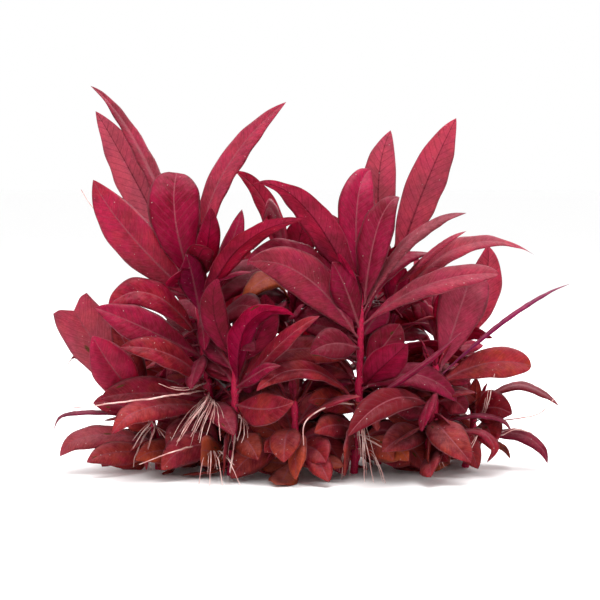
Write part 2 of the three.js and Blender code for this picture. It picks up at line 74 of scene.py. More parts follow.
def setUpView():
    camera = bpy.data.cameras.new("camera")
    camera.lens = view["lens"]
    camera.clip_start = view["nearest"]
    camera.clip_end = view["farthest"]
    bpy.context.scene.camera = aimed("camera", camera, view["stand"], view["aim"])
    for name, settings in lamps.items():
        areaLight(name, *settings)
    world = bpy.data.worlds.new("paleRoom")
    world.use_nodes = True
    background = world.node_tree.nodes["Background"]
    background.inputs["Color"].default_value = (1, 1, 1, 1)
    background.inputs["Strength"].default_value = light["sky"]
    bpy.context.scene.world = world
    bpy.context.scene.view_settings.view_transform = "Standard"


setUpView()
print("camera and lights are set")


# writing node trees: a Field is an output that plain arithmetic works on
class Field:
    def __init__(self, tree, socket):
        self.tree = tree
        self.socket = socket

    def maths(self, operation, *others):
        inputs = dict(enumerate((self, *others)))
        return result(self.tree, "ShaderNodeMath", inputs, operation=operation)

    __add__ = __radd__ = partialmethod(maths, "ADD")
    __sub__ = partialmethod(maths, "SUBTRACT")
    __mul__ = __rmul__ = partialmethod(maths, "MULTIPLY")
    __truediv__ = partialmethod(maths, "DIVIDE")
    __pow__ = partialmethod(maths, "POWER")
    atLeast = partialmethod(maths, "MAXIMUM")
    atMost = partialmethod(maths, "MINIMUM")
    absolute = partialmethod(maths, "ABSOLUTE")
    sine = partialmethod(maths, "SINE")

    def __rsub__(self, other):
        return (self * -1) + other

    def vectors(self, operation, *others, output=0):
        inputs = dict(zip((0, "Scale" if operation == "SCALE" else 1), (self, *others)))
        return result(self.tree, "ShaderNodeVectorMath", inputs, output, operation=operation)

    scaled = partialmethod(vectors, "SCALE")
    moved = partialmethod(vectors, "ADD")

    def rising(self, low, high):  # 0 below low, 1 above high and smooth between
        return result(self.tree, "ShaderNodeMapRange", {"Value": self, "From Min": low, "From Max": high},
                      "Result", interpolation_type="SMOOTHSTEP")

    def covered(self, share, colour):  # by another colour, as far as the share says
        return blended(self.tree, share, self, colour)


def feed(tree, socket, value):
    if isinstance(value, Field):
        tree.links.new(value.socket, socket)
    else:
        socket.default_value = value


def feedAll(tree, node, inputs):
    for name, value in inputs.items():
        feed(tree, node.inputs[name], value)


def newNode(tree, kind, inputs=None, **settings):
    node = tree.nodes.new(kind)
    for name, value in settings.items():
        setattr(node, name, value)
    feedAll(tree, node, inputs or {})
    return node


def result(tree, kind, inputs=None, output=0, **settings):
    return Field(tree, newNode(tree, kind, inputs, **settings).outputs[output])


def joined(tree, x=0.0, y=0.0, z=0.0):
    return result(tree, "ShaderNodeCombineXYZ", {"X": x, "Y": y, "Z": z})


def parted(tree, vector):  # the three numbers of a vector
    node = newNode(tree, "ShaderNodeSeparateXYZ", {0: vector})
    return [Field(tree, socket) for socket in node.outputs]


def noiseAt(tree, vector, scale, detail=3.0, output="Fac", roughness=0.5):
    return result(tree, "ShaderNodeTexNoise",
                  {"Vector": vector, "Scale": scale, "Detail": detail, "Roughness": roughness}, output)


def socketKind(label, value):  # a number has a default value, and a vector has None
    if label == "Geometry":
        return "NodeSocketGeometry"
    return {float: "NodeSocketFloat", int: "NodeSocketInt"}.get(type(value), "NodeSocketVector")


def startTree(name, kind, inputs):
    tree = bpy.data.node_groups.new(name, kind)
    for label, value in inputs.items():
        socket = tree.interface.new_socket(label, in_out="INPUT", socket_type=socketKind(label, value))
        if value is not None:
            socket.default_value = value
    entry = tree.nodes.new("NodeGroupInput")
    return tree, {socket.name: Field(tree, socket) for socket in entry.outputs if socket.name}


def finishTree(tree, outputs):
    for label in outputs:
        tree.interface.new_socket(label, in_out="OUTPUT", socket_type=socketKind(label, 0.0))
    feedAll(tree, tree.nodes.new("NodeGroupOutput"), outputs)
    return tree


def startGeometry(name, sizes):
    return startTree(name, "GeometryNodeTree", {"Geometry": None, **sizes})


def named(tree, name, kind="FLOAT"):
    return result(tree, "GeometryNodeInputNamedAttribute", {"Name": name}, "Attribute", data_type=kind)


def stored(tree, geometry, name, value, kind="FLOAT", domain="POINT"):
    inputs = {"Geometry": geometry, "Name": name, "Value": value}
    return result(tree, "GeometryNodeStoreNamedAttribute", inputs, data_type=kind, domain=domain)


def storedPair(tree, geometry, name, x, y):  # a UV map
    return stored(tree, geometry, name, joined(tree, x, y), "FLOAT2", "CORNER")


def position(tree):
    return result(tree, "GeometryNodeInputPosition")


def smoothLine(tree, lines, measure, spacing):  # resampled by "Count" or by "Length"
    line = result(tree, "GeometryNodeMeshToCurve", {0: lines})
    line = result(tree, "GeometryNodeCurveSplineType", {0: line}, spline_type="CATMULL_ROM")
    return result(tree, "GeometryNodeResampleCurve", {"Curve": line, measure: spacing}, mode=measure.upper())


def circle(tree, sides):
    return result(tree, "GeometryNodeCurvePrimitiveCircle", {"Resolution": sides, "Radius": 1.0})


def swept(tree, line, loop):  # "centre" keeps the line's own place for each point of the skin
    line = stored(tree, line, "centre", position(tree), "FLOAT_VECTOR")
    return result(tree, "GeometryNodeCurveToMesh", {"Curve": line, "Profile Curve": loop, "Fill Caps": True})


def settled(tree, skin, places):  # moved to its places, but never below the ground
    x, y, z = parted(tree, places)
    above = joined(tree, x, y, z.atLeast(0.0))
    return result(tree, "GeometryNodeSetPosition", {"Geometry": skin, "Position": above})


def widened(tree, skin, radius):  # a round skin, this far from its middle line
    centre = named(tree, "centre", "FLOAT_VECTOR")
    out = position(tree).vectors("SUBTRACT", centre).vectors("NORMALIZE")
    return settled(tree, skin, centre.moved(out.scaled(radius)))


def dressed(tree, skin, material):
    skin = result(tree, "GeometryNodeSetShadeSmooth", {"Geometry": skin})
    skin = result(tree, "GeometryNodeRealizeInstances", {"Geometry": skin})
    return result(tree, "GeometryNodeSetMaterial", {"Geometry": skin, "Material": material})


def runTree(name, lines, tree, sizes):
    source = bpy.data.objects.new(name + "_lines", lines)
    bpy.context.scene.collection.objects.link(source)
    modifier = source.modifiers.new("grow", "NODES")
    modifier.node_group = tree
    for socket in tree.interface.items_tree:
        if socket.item_type == "SOCKET" and socket.in_out == "INPUT" and socket.name in sizes:
            modifier[socket.identifier] = sizes[socket.name]
    graph = bpy.context.evaluated_depsgraph_get()
    mesh = bpy.data.meshes.new_from_object(source.evaluated_get(graph), depsgraph=graph)
    source.modifiers.remove(modifier)
    bpy.data.objects.remove(source)
    for working in [a.name for a in mesh.attributes if a.domain == "POINT" and not a.is_required]:
        mesh.attributes.remove(mesh.attributes[working])
    piece = bpy.data.objects.new(name, mesh)
    bpy.context.scene.collection.objects.link(piece)
    return piece


def lineMesh(name, lines, floats, vectors=()):
    mesh = bpy.data.meshes.new(name)
    points = [p for line in lines for p in line["points"]]
    edges, first = [], 0
    for line in lines:
        count = len(line["points"])
        edges += [(first + i, first + i + 1) for i in range(count - 1)]
        first += count
    mesh.from_pydata([tuple(p) for p in points], edges, [])
    for label in floats:
        values = [v for line in lines for v in np.broadcast_to(line[label], len(line["points"]))]
        mesh.attributes.new(label, "FLOAT", "POINT").data.foreach_set("value", values)
    for label in vectors:
        values = np.concatenate([np.asarray(line[label], float) for line in lines])
        mesh.attributes.new(label, "FLOAT_VECTOR", "POINT").data.foreach_set("vector", values.ravel())
    return mesh


# the bush as the frame has it: stems, leaves and roots as middle lines
eye = {"distance": 900.0, "height": 150.0}  # points line up from here, in millimetres
stemEnds = {  # foot and top
    "left_tall": ((-46, -4), (-57, 2, 106)),
    "left_inner": ((-38, -20), (-36, -22, 60)),
    "centre_tall": ((24, -14), (27, -13, 92)),
    "right_tall": ((36, 14), (42, 14, 104)),
    "right_front": ((60, -16), (65, -17, 52)),
    "right_low": ((80, 4), (84, 4, 30)),
    "left_low": ((-74, -2), (-80, -2, 34)),
    "middle_front": ((-8, -30), (-6, -31, 34)),
    "middle_back": ((-10, 20), (-8, 20, 96)),
    "left_back": ((-52, 30), (-50, 32, 76)),
    "right_back": ((58, 36), (66, 36, 74)),
}
stemShape = {"footRadius": 2.0, "topRadius": 1.15, "bow": 2.5, "step": 1.5, "fewest": 8, "tipHeight": 1.5,
             "tipShare": 0.3, "collarHeight": 2.2, "mostSwelling": 1.4}


def meshOf(node):
    # A node's vertices, with those at one place merged, and the neighbours of each.
    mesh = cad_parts[node].data
    mesh.calc_loop_triangles()
    places = np.array([vertex.co for vertex in mesh.vertices], float)
    points, merged = np.unique(places.round(6), axis=0, return_inverse=True)
    near = [set() for _ in points]
    for triangle in mesh.loop_triangles:
        corners = set(merged.reshape(-1)[list(triangle.vertices)])
        for corner in corners:
            near[corner] |= corners
    return points, [around - {i} for i, around in enumerate(near)]


def bezier(a, b, c, t):
    return (1 - t) ** 2 * a + 2 * t * (1 - t) * b + t**2 * c


def lined(x, depth, height):  # the place at this depth that the eye sees at x and height
    share = 1 + depth / eye["distance"]
    return np.array([x * share, depth, eye["height"] + (height - eye["height"]) * share])


def stemLine(name):
    (footX, footY), (topX, topY, topZ) = stemEnds[name]
    top = lined(topX, topY, topZ)
    foot = lined(footX, footY, 0) * (1, 1, 0)
    return foot, (foot + top) / 2 + np.array([stemShape["bow"], -stemShape["bow"] / 2, 0]), top


def frameShift():  # the frame's origin is under the middle of the bush, and a stem's cut shows how far off
    points, _ = meshOf("stem_centre_tall")
    cut = points[points[:, 2] < 1e-5].mean(axis=0) / mm
    return (cut - stemLine("centre_tall")[0]) * (1, 1, 0)


shift = frameShift()
stemLines = {name: [(p + shift) * mm for p in stemLine(name)] for name in stemEnds}


def seen(x, depth, height):
    return (lined(x, depth, height) + shift) * mm


def seenAt(point):  # where the eye sees a point
    x, depth, height = point / mm - shift
    share = 1 + depth / eye["distance"]
    return np.array([x / share, eye["height"] + (height - eye["height"]) / share])


def onStem(name, height):
    foot, middle, top = stemLines[name]
    return bezier(foot, middle, top, min(max(height / top[2], 0), 1))


def unit(v):
    return v / max(np.linalg.norm(v), 1e-12)


def ringsFrom(near, start, wanted):
    # The rings of vertices round a leaf, from its tip on, for as long as they have the wanted count.
    rings, used, ring = [], {start}, near[start]
    while len(ring) == wanted:
        rings.append(sorted(ring))
        used |= ring
        ring = set().union(*(near[i] for i in ring)) - used
    return rings, ring


def section(points, ring, thickness):
    # A ring's middle, its upward direction, half its width and how far its edges rise.
    pairs = [(a, b) for i, a in enumerate(ring) for b in ring[i + 1:]]
    left, right = max(pairs, key=lambda p: np.linalg.norm(points[p[0]] - points[p[1]]))
    edges = points[left], points[right]
    between = (edges[0] + edges[1]) / 2
    others = [points[i] for i in ring if i not in (left, right)]
    if len(others) == 2:
        middle = (others[0] + others[1]) / 2
        up = unit(others[0] - others[1])
        up = up if np.dot(up, between - middle) > 0 else -up
    else:
        up = unit(between - others[0])
        middle = others[0] + up * thickness / 2
    return {"middle": middle, "up": up, "half": np.linalg.norm(edges[0] - edges[1]) / 2,
            "rise": np.dot(between - middle, up), "between": between}


outline = {"basePower": 1.15, "tipPower": 0.9, "leastTipPower": 0.4, "mostTipPower": 2.0, "tornShare": 0.22}
# How the frame's leaves and roots are made: counts, and lengths in millimetres.
solidLeaf = {"thickness": 0.6, "intoStem": 1.5, "corners": 4, "rings": 6, "joinedCorners": 3,
             "rootWidth": 1.1, "widthFrom": 0.12, "widthTo": 0.95}


def peak(tipPower):  # the outline's formula is divided by its greatest value
    a = outline["basePower"]
    widest = a / (a + tipPower)
    return widest**a * (1 - widest) ** tipPower


def shape(share, tipPower):
    return share ** outline["basePower"] * (1 - share) ** tipPower / peak(tipPower)


def tipPowerOf(parts, shares):
    # How quickly a leaf narrows, from its widths at two of its rings.
    (h1, s1), (h2, s2) = [(parts[i]["half"], shares[i]) for i in (-3, -1)]
    found = math.log(h2 / h1) - outline["basePower"] * math.log(s2 / s1)
    found /= math.log((1 - s2) / (1 - s1))
    return min(max(found, outline["leastTipPower"]), outline["mostTipPower"])


def bladeLine(stem, points, rings, tip, base, own):
    # rings run from the base to the tip
    parts = [section(points, ring, solidLeaf["thickness"] * mm) for ring in rings]
    end = parts[-1]["between"]
    torn = own and np.dot(points[tip] - end, end - parts[-2]["between"]) < 0
    if torn:
        parts[-1]["middle"] = end
    start = parts[0]["middle"] if own else base
    inside = onStem(stem, start[2] - solidLeaf["intoStem"] * mm)
    path = [inside] + ([] if own else [start]) + [p["middle"] for p in parts]
    ups = [parts[0]["up"]] * (1 if own else 2) + [p["up"] for p in parts]
    if not torn:
        path.append(points[tip])
        ups.append(parts[-1]["up"])
    path = np.array(path)
    steps = np.linalg.norm(np.diff(path, axis=0), axis=1)
    shares = np.concatenate([[0], np.cumsum(steps)]) / steps.sum()
    bare = shares[1]
    ringShares = (shares[1 if own else 2:][:len(parts)] - bare) / (1 - bare)
    if torn:
        ringShares = ringShares * (1 - outline["tornShare"])
    tipPower = tipPowerOf(parts, ringShares) if own else outline["tipPower"]
    low, high = solidLeaf["widthFrom"], solidLeaf["widthTo"]
    known = [(p["half"], s) for p, s in zip(parts, ringShares) if low < s < high]
    width = 2 * sum(h for h, _ in known) / sum(shape(s, tipPower) for _, s in known)
    tangents = np.gradient(path, axis=0)
    ups = [unit(u - np.dot(u, unit(t)) * unit(t)) for u, t in zip(ups, tangents)]
    return {
        "points": path,
        "top": np.array(ups),
        "side": np.array([unit(np.cross(t, u)) for t, u in zip(tangents, ups)]),
        "width": width,
        "length": steps.sum(),
        "bare": bare,
        "fold": np.mean([p["rise"] / p["half"] for p in parts]),
        "torn": outline["tornShare"] * float(torn),
        "tipPower": tipPower,
        "peak": peak(tipPower),
        "at": start[2] / mm,
        "tip": seenAt(path[-1]),
    }


def ownLeaf(node):
    stem = node.split("_", 1)[1].rsplit("_", 1)[0]
    points, near = meshOf(node)
    ringsOf = [ringsFrom(near, v, solidLeaf["corners"])[0] for v in range(len(points))]
    ends = [v for v, rings in enumerate(ringsOf) if len(rings) == solidLeaf["rings"]]
    tip = max(ends, key=lambda v: np.linalg.norm((points[v] - onStem(stem, points[v][2]))[:2]))
    return bladeLine(stem, points, ringsOf[tip][::-1], tip, None, True)


def joinedGrowth(stem):
    # The small leaves and the roots that are one with a stem: each ends in a tip with three neighbours that
    # are neighbours of one another.
    points, near = meshOf("stem_" + stem)
    leaves, roots = [], []
    for tip, ring in enumerate(near):
        if len(ring) != solidLeaf["joinedCorners"] or any(len(near[i] & ring) != 2 for i in ring):
            continue
        rings, after = ringsFrom(near, tip, solidLeaf["joinedCorners"])
        if not after or len(rings) < 2:
            continue
        base = points[sorted(after)].mean(axis=0)
        widest = max(np.linalg.norm(points[a] - points[b]) for r in rings for a in r for b in r)
        if widest < solidLeaf["rootWidth"] * mm:
            centres = [points[r].mean(axis=0) for r in rings[::-1]]
            roots.append(np.array([onStem(stem, base[2]), base, *centres, points[tip]]))
        else:
            leaves.append(bladeLine(stem, points, rings[::-1], tip, base, False))
    return leaves, roots


ownNodes = sorted(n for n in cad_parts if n.startswith("leaf_"))
ownLeaves = {node: ownLeaf(node) for node in ownNodes}
growth = {stem: joinedGrowth(stem) for stem in stemEnds}
print(len(ownLeaves), "large leaves,", sum(len(g[0]) for g in growth.values()), "small leaves and",
      sum(len(g[1]) for g in growth.values()), "roots read from the frame")


# shared shader effects
def groupNode(tree, group, inputs):
    node = tree.nodes.new("ShaderNodeGroup")
    node.node_tree = group
    feedAll(tree, node, inputs)
    return {socket.name: Field(tree, socket) for socket in node.outputs}


def blended(tree, share, first, second):
    node = newNode(tree, "ShaderNodeMix", {0: share}, data_type="RGBA")
    for socket, value in ((node.inputs[6], first), (node.inputs[7], second)):
        feed(tree, socket, value if isinstance(value, Field) else (*value, 1))
    return Field(tree, node.outputs[2])


veinSizes = {"wobble": 260.0, "net": 560.0, "grit": 1500.0}  # how many to a metre


def veinGroup():
    # Where the midrib, the side veins and the fine net between them run on a leaf.
    inputs = {"Veins": None, "Blade": None, "Point": None, "Spacing mm": 4.6}
    tree, given = startTree("leafVeins", "ShaderNodeTree", inputs)
    count, away, _ = parted(tree, given["Veins"])
    place, along, _ = parted(tree, given["Blade"])
    across = ((place - 0.5) * 2).absolute()
    wobble = noiseAt(tree, given["Point"], veinSizes["wobble"], 2.0) - 0.5
    near = (count + wobble * 0.25).maths("PINGPONG", 0.5) * given["Spacing mm"]
    side = (1 - near.rising(0.12, 0.5)) * (1 - across.rising(0.72, 1.0) * 0.75)
    net = result(tree, "ShaderNodeTexVoronoi", {"Vector": given["Point"], "Scale": veinSizes["net"]},
                 "Distance", feature="DISTANCE_TO_EDGE")
    lines = 1 - net.rising(0.02, 0.16)
    drawn = joined(tree, count * 5, away * 0.35, wobble)  # long in the direction of the side veins
    grit = noiseAt(tree, given["Point"], veinSizes["grit"], 2.0)
    return finishTree(tree, {
        "Midrib": 1 - away.rising((1.15 - along) * 0.32, (1.25 - along) * 0.85),
        "Side Veins": side,
        "Net": lines,
        "Streaks": noiseAt(tree, drawn, 1.0).rising(0.3, 0.7),
        "Rim": across.rising(0.93, 0.99),
        "Height": lines * -0.35 + side * -0.8 + grit * 0.3,
    })


mottleSizes = {"slow": 55.0, "patches": 120.0, "quick": 330.0, "specks": 330.0}  # how many to a metre


def mottleGroup():
    # Slow and quick changes of tone over living tissue, and tiny pale specks on it.
    tree, given = startTree("mottle", "ShaderNodeTree", {"Point": None})
    point = given["Point"]
    cells = newNode(tree, "ShaderNodeTexVoronoi", {"Vector": point, "Scale": mottleSizes["specks"]})
    chosen = result(tree, "ShaderNodeSeparateColor", {0: Field(tree, cells.outputs["Color"])})
    specks = (1 - Field(tree, cells.outputs["Distance"]).rising(0.04, 0.10)) * chosen.rising(0.48, 0.50)
    return finishTree(tree, {
        "Slow": noiseAt(tree, point, mottleSizes["slow"], 2.0).rising(0.32, 0.68),
        "Patches": noiseAt(tree, point, mottleSizes["patches"]).rising(0.35, 0.65),
        "Quick": noiseAt(tree, point, mottleSizes["quick"], 4.0, roughness=0.6).rising(0.3, 0.72),
        "Specks": specks,
    })


veinsOf = veinGroup()
mottleOf = mottleGroup()


def uv(tree, name):
    return result(tree, "ShaderNodeUVMap", uv_map=name)


def bumped(tree, strength, distance, height):
    return result(tree, "ShaderNodeBump", {"Strength": strength, "Distance": distance, "Height": height})


def startMaterial(name):
    material = bpy.data.materials.new(name)
    material.use_nodes = True
    tree = material.node_tree
    point = result(tree, "ShaderNodeTexCoord", output="Object")
    return material, tree, point, groupNode(tree, mottleOf, {"Point": point})


leafLook = {
    "youngDark": (0.170, 0.0012, 0.014),
    "youngBright": (0.410, 0.005, 0.070),
    "oldDark": (0.170, 0.006, 0.010),
    "oldBright": (0.520, 0.062, 0.032),
    "golden": (0.470, 0.088, 0.024),
    "purple": (0.130, 0.012, 0.130),
    # painted sheen: the grey-pink that light glancing off a leaf gives, painted into its colour
    "paintedSheen": (0.400, 0.150, 0.180),
    "paleVein": (0.560, 0.150, 0.190),
    "darkVein": (0.080, 0.002, 0.010),
    "youngThrough": (0.770, 0.008, 0.120),
    "oldThrough": (0.660, 0.080, 0.036),
    "purpleThrough": (0.340, 0.010, 0.260),
    "paleThrough": (0.850, 0.300, 0.380),
    "speck": (0.80, 0.74, 0.72),
    "spot": (0.090, 0.060, 0.012),
    "roughness": 0.42,
    "rougherUnder": 0.12,
    "through": 0.45,
    "shade": 0.62,
    "relief": 0.12 * mm,
}
leafTone = {  # how much each of these changes a leaf's tone
    "slow": 0.5, "quick": 0.35, "streaks": 0.3, "glow": 0.95, "patches": 0.6, "orange": 2.5, "rim": 0.5,
    "spot": 0.85, "spotThrough": 0.7, "specks": 0.8, "netOnTop": 0.08, "paleUnder": 0.6,
}
# how strongly upward-facing tops are painted paler, a painted sheen of the light from above
topSheen = {"least": 0.06, "quick": 0.34, "pale": 0.7, "streaks": 0.6, "slopeFrom": 0.35}
veinShares = {  # how much the midrib, the side veins and the net show
    "top": (0.42, 0.10, 0.0),
    "under": (0.50, 0.20, 0.08),
    "through": (0.55, 0.26, 0.10),
}


def veinShade(veins, side):
    midrib, sideVeins, net = veinShares[side]
    return veins["Midrib"] * midrib + veins["Side Veins"] * sideVeins + veins["Net"] * net


def leafMaterial(name, under):
    look, part = leafLook, leafTone
    material, tree, point, tone = startMaterial(name)
    tree.nodes.remove(tree.nodes["Principled BSDF"])
    veins = groupNode(tree, veinsOf, {"Veins": uv(tree, "veins"), "Blade": uv(tree, "blade"), "Point": point,
                                      "Spacing mm": blade["Vein Spacing"] / mm})
    age, glow, _ = parted(tree, uv(tree, "kind"))
    purple, pale, _ = parted(tree, uv(tree, "tint"))
    drawn = (tone["Slow"] - 0.5) * part["slow"] + (tone["Quick"] - 0.5) * part["quick"]
    drawn = drawn + (veins["Streaks"] - 0.5) * part["streaks"]
    # glow adds painted brightness for light that comes through a leaf, on top of the random tone
    bright = (drawn + glow * part["glow"]).atLeast(0.0).atMost(1.0)
    uneven = (tone["Patches"] - 0.5) * part["patches"] * age.atMost(1.0) ** 0.5
    browned = (age + uneven).atLeast(0.0).atMost(1.0)
    orange = ((age - 1) * part["orange"]).atLeast(0.0)  # the oldest leaves turn orange, not evenly
    golden = (orange * (tone["Patches"] * 0.9 + tone["Quick"] * 0.4 + 0.25)).atMost(1.0)
    spotted = 1 - uv(tree, "blade").vectors("DISTANCE", uv(tree, "mark"), output=1).rising(0.02, 0.05)

    old = blended(tree, bright, look["oldDark"], look["oldBright"]).covered(golden, look["golden"])
    colour = blended(tree, bright, look["youngDark"], look["youngBright"]).covered(browned, old)
    colour = colour.covered(purple, look["purple"])
    if under:
        # painted sheen on the underside too, as far as the leaf's pale share says
        colour = colour.covered(pale * part["paleUnder"], look["paintedSheen"])
        colour = colour.covered(veinShade(veins, "under"), look["darkVein"])
    else:
        normal = parted(tree, result(tree, "ShaderNodeTexCoord", output="Normal"))
        # painted highlight: top faces that turn upward, and leaves with a pale share, are painted paler in
        # place of the sheen of the light from above
        upward = normal[2].rising(topSheen["slopeFrom"], 1.0)
        fine = upward * (tone["Quick"] * topSheen["quick"] + topSheen["least"])
        thick = pale * (veins["Streaks"] * topSheen["streaks"] + topSheen["pale"])
        colour = colour.covered((fine + thick).atMost(1.0), look["paintedSheen"])
        colour = colour.covered(veinShade(veins, "top"), look["paleVein"])
        colour = colour.covered(veins["Net"] * part["netOnTop"], look["darkVein"])
    # painted highlight: the edge band of both faces is painted paler, as sheen at grazing light would make
    # it
    colour = colour.covered(veins["Rim"] * part["rim"], look["paintedSheen"])
    colour = colour.covered(spotted * part["spot"], look["spot"])
    colour = colour.covered(tone["Specks"] * part["specks"], look["speck"])

    oldThrough = blended(tree, golden, look["oldThrough"], look["golden"])
    through = blended(tree, browned, look["youngThrough"], oldThrough)
    # the pale share also pales the light through the leaf, part of the same painted sheen
    through = through.covered(purple, look["purpleThrough"]).covered(pale, look["paleThrough"])
    shaded = veinShade(veins, "through") + spotted * part["spotThrough"]
    through = through.covered(shaded.atMost(1.0), look["darkVein"])
    # painted shade: the light through a leaf is darkened unless its painted glow is high
    through = through.covered(look["shade"], (0, 0, 0)).covered(bright, through)

    relief = bumped(tree, 0.45, look["relief"], veins["Height"])
    skin = result(tree, "ShaderNodeBsdfPrincipled", {
        "Base Color": colour,
        "Roughness": tone["Quick"] * 0.14 + look["roughness"] + (look["rougherUnder"] if under else 0.0),
        "Specular IOR Level": 0.12,
        "Sheen Weight": 0.0 if under else 0.04,
        "Sheen Roughness": 0.45,
        "Sheen Tint": (1.0, 0.75, 0.80, 1.0),
        "Normal": relief,
    })
    lit = result(tree, "ShaderNodeBsdfTranslucent", {"Color": through, "Normal": relief})
    both = result(tree, "ShaderNodeMixShader", {0: look["through"], 1: skin, 2: lit})
    feed(tree, tree.nodes["Material Output"].inputs["Surface"], both)
    return material


stemLook = {"dark": (0.280, 0.002, 0.026), "bright": (0.620, 0.007, 0.080), "shade": (0.220, 0.008, 0.018),
            "roughness": 0.34, "relief": 0.2 * mm}


def stemMaterial():
    material, tree, _, tone = startMaterial("redStem")
    around, along, _ = parted(tree, uv(tree, "blade"))
    streaks = noiseAt(tree, joined(tree, around * 9, along * 2.2), 3.0).rising(0.35, 0.7)
    colour = blended(tree, streaks, stemLook["dark"], stemLook["bright"])
    colour = colour.covered(tone["Quick"] * 0.3, stemLook["shade"])
    colour = colour.covered(tone["Specks"] * 0.6, leafLook["speck"])
    feedAll(tree, tree.nodes["Principled BSDF"], {
        "Base Color": colour,
        "Roughness": tone["Quick"] * 0.2 + stemLook["roughness"],
        "Normal": bumped(tree, 0.4, stemLook["relief"], streaks + tone["Quick"]),
        "Specular IOR Level": 0.2,
        "Subsurface Weight": 0.15,
        "Subsurface Radius": (1.0, 0.2, 0.2),
        "Subsurface Scale": 1.5 * mm,
    })
    return material


rootLook = {"dark": (0.46, 0.19, 0.18), "bright": (0.80, 0.56, 0.52), "shade": (0.42, 0.16, 0.13),
            "roughness": 0.38, "relief": 0.1 * mm}


def rootMaterial():
    material, tree, _, tone = startMaterial("paleRoot")
    colour = blended(tree, tone["Patches"], rootLook["dark"], rootLook["bright"])
    colour = colour.covered(tone["Quick"] * 0.3, rootLook["shade"])
    feedAll(tree, tree.nodes["Principled BSDF"], {
        "Base Color": colour,
        "Roughness": tone["Quick"] * 0.2 + rootLook["roughness"],
        "Normal": bumped(tree, 0.3, rootLook["relief"], tone["Quick"]),
    })
    return material


# leaves: a closed blade grows along each middle line
blade = {
    "Rows": 64,
    "Columns": 16,
    "Vein Spacing": 4.6 * mm,
    "Vein Slant": 1.05,
    "Vein Relief": 0.34 * mm,
    "Ripple": 0.6 * mm,
    "Ripple Spacing": 17.0 * mm,
    "Outline Ripple": 0.018,
    "Middle Thickness": 0.42 * mm,
    "Edge Thickness": 0.26 * mm,
    "Edge Curl": 0.22,
    "Stalk Thickness": 1.1 * mm,
    "Stalk Width": 1.5 * mm,
    "Rib Height": 0.42 * mm,
    "Rib Width": 0.55 * mm,
    "Groove": 0.12 * mm,
    "Notch": 0.3,
    "Full Width": 20.0 * mm,
    "Uneven Scale": 70.0,
    "Weld": 0.002 * mm,
}
smallBlade = {"Rows": 32, "Columns": 8, "Ripple": 0.4 * mm, "Ripple Spacing": 11.0 * mm}

leafTop = leafMaterial("leafTop", False)
leafUnder = leafMaterial("leafUnder", True)
redStem = stemMaterial()
paleRoot = rootMaterial()


def bladeLoop(tree, columns):
    # The section runs over the top from one edge to the other and back along the underside.
    step = result(tree, "GeometryNodeInputIndex")
    straight = 1 - step.maths("PINGPONG", columns) / columns * 2
    across = straight.maths("SIGN") * straight.absolute() ** 1.25  # closer together at the midrib
    loop = stored(tree, circle(tree, columns * 2), "across", across)
    return stored(tree, loop, "face", (columns - step).maths("SIGN") * step.maths("GREATER_THAN", 0.5))


